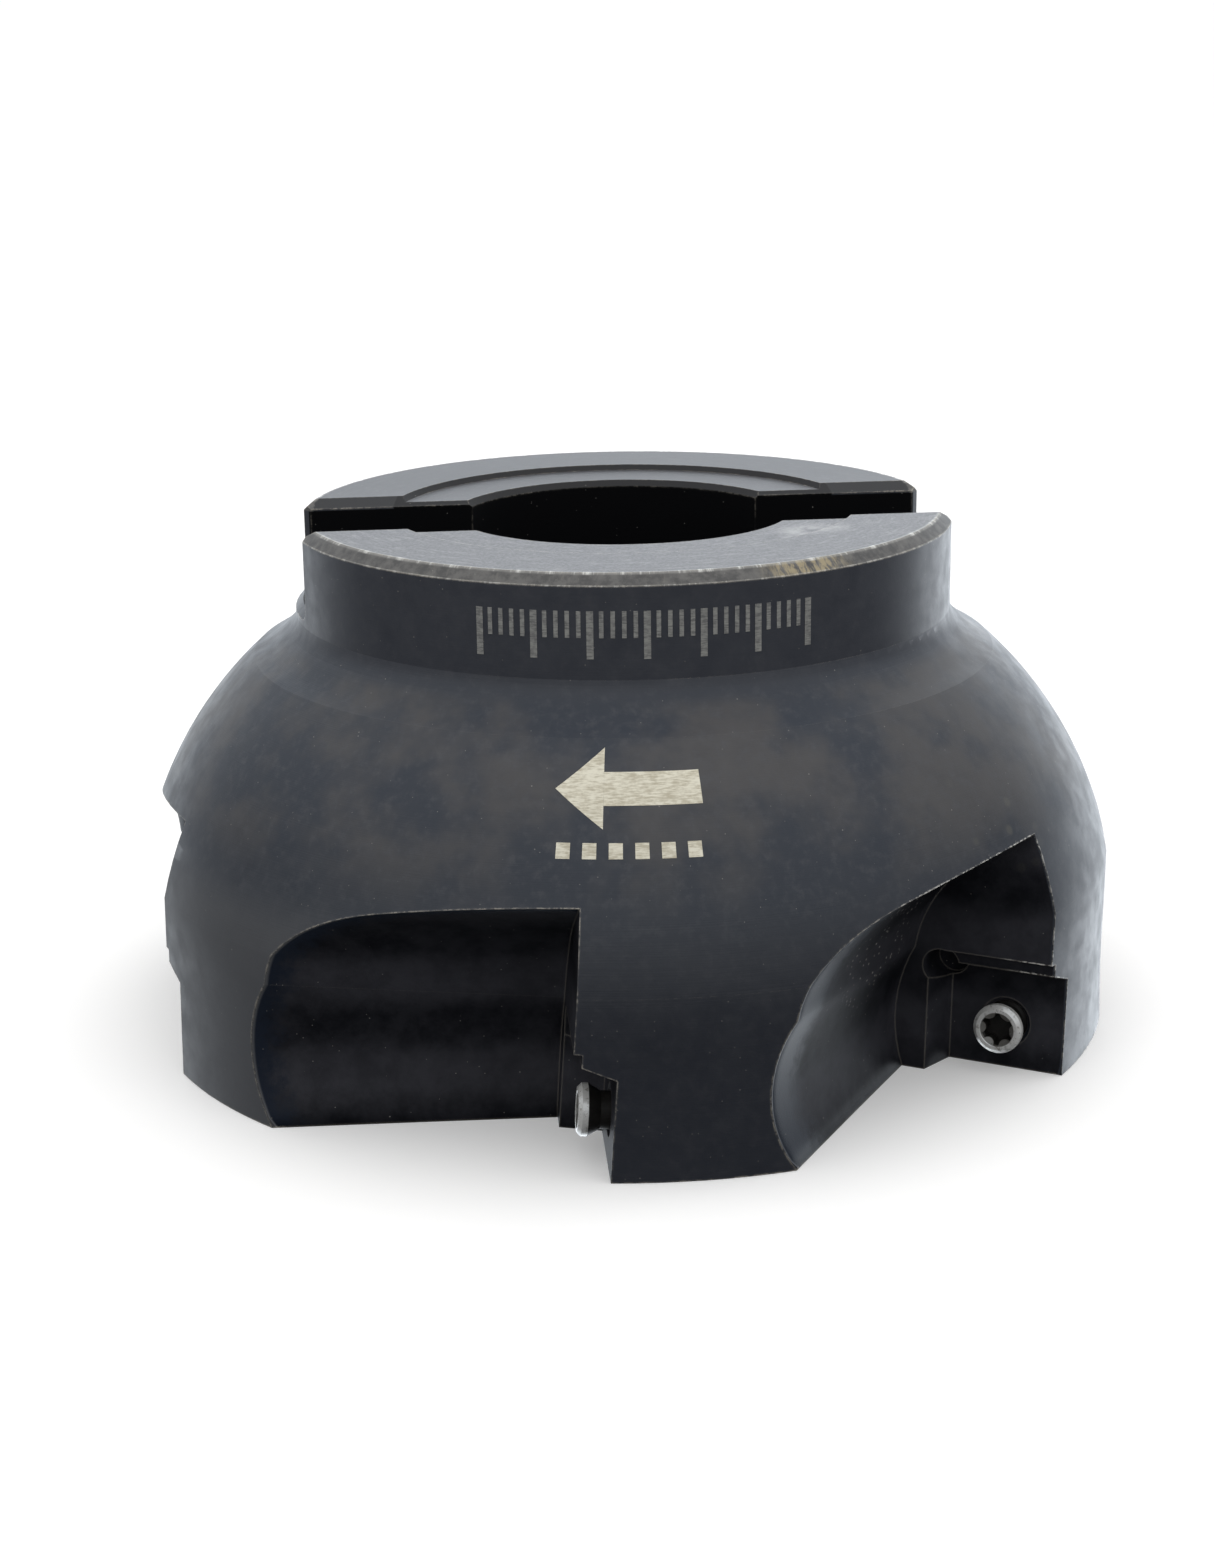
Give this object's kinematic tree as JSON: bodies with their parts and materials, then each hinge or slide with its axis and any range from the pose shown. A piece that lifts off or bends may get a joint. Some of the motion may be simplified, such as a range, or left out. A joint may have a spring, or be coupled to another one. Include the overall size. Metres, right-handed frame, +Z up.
{
  "type": "face mill",
  "caption": "Shell-type indexable face mill: domed black steel body with hub, key slot, stepped bore, bare insert seats and six-lobe clamping screws.",
  "frame": {"origin": "centre of the cutting-end face, on the spindle axis", "axes": "+Z up the spindle axis from the cutting end to the hub face; the drive key slot lies along X; right-hand cutter, clockwise seen from above"},
  "size_m": [0.0924, 0.096, 0.05],
  "materials": {
    "black_oxide_steel": "black oxide, satin, worn bright on edges",
    "bright_screw": "bright rolled steel"
  },
  "bodies": {
    "cutter_body": {"cutter_body": "black_oxide_steel"},
    "insert_screw_1": {"insert_screw_1": "bright_screw"},
    "insert_screw_2": {"insert_screw_2": "bright_screw"},
    "insert_screw_3": {"insert_screw_3": "bright_screw"},
    "insert_screw_4": {"insert_screw_4": "bright_screw"},
    "insert_screw_5": {"insert_screw_5": "bright_screw"},
    "insert_screw_6": {"insert_screw_6": "bright_screw"}
  },
  "joints": [
    {"name": "withdraw_1", "type": "slide", "parent": "cutter_body", "child": "insert_screw_1", "axis": [-0.9972, 0.0279, 0.0696], "range_m": [-0.0017, 0.0072]},
    {"name": "withdraw_2", "type": "slide", "parent": "cutter_body", "child": "insert_screw_2", "axis": [-0.5227, -0.8497, 0.0696], "range_m": [-0.0017, 0.0072]},
    {"name": "withdraw_3", "type": "slide", "parent": "cutter_body", "child": "insert_screw_3", "axis": [0.4745, -0.8775, 0.0696], "range_m": [-0.0017, 0.0072]},
    {"name": "withdraw_4", "type": "slide", "parent": "cutter_body", "child": "insert_screw_4", "axis": [0.9972, -0.0279, 0.0696], "range_m": [-0.0017, 0.0072]},
    {"name": "withdraw_5", "type": "slide", "parent": "cutter_body", "child": "insert_screw_5", "axis": [0.5227, 0.8497, 0.0696], "range_m": [-0.0017, 0.0072]},
    {"name": "withdraw_6", "type": "slide", "parent": "cutter_body", "child": "insert_screw_6", "axis": [-0.4745, 0.8775, 0.0696], "range_m": [-0.0017, 0.0072]}
  ]
}
